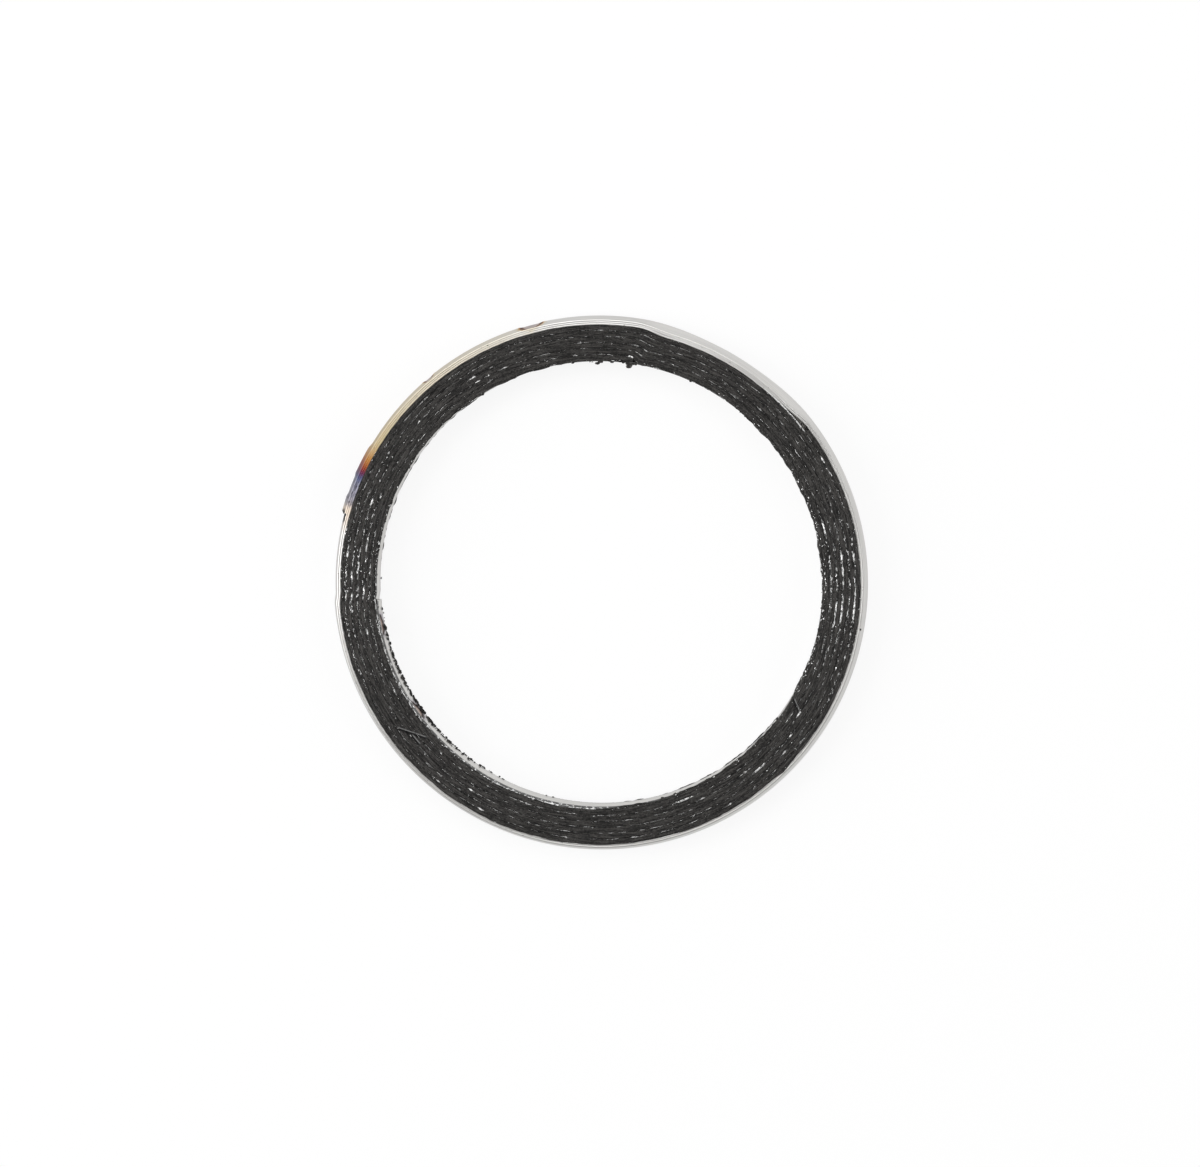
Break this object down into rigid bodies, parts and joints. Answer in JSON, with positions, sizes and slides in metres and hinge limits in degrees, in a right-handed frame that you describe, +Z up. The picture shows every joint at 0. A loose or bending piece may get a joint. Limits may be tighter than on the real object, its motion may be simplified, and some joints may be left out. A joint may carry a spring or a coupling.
{
  "type": "exhaust pipe flange gasket",
  "caption": "Flat spiral-wound ring gasket: a thin V-section steel hoop and a graphite tape wound together, to seal a pipe flange joint.",
  "frame": {"origin": "centre of the bore in the plane of the lower graphite face, which the ring lies on", "axes": "+Z up along the bore; the hoop starts in the bore close to -X and winds counter-clockwise seen from above"},
  "size_m": [0.0625, 0.0626, 0.0045],
  "materials": {
    "hoop_steel": "rolled stainless strip, heat tinted at the spot welds",
    "graphite": "dark grey expanded graphite with a dull sheen, ragged along its edges"
  },
  "bodies": {
    "root": {"steel_hoop": "hoop_steel", "graphite_filler": "graphite"}
  },
  "joints": []
}
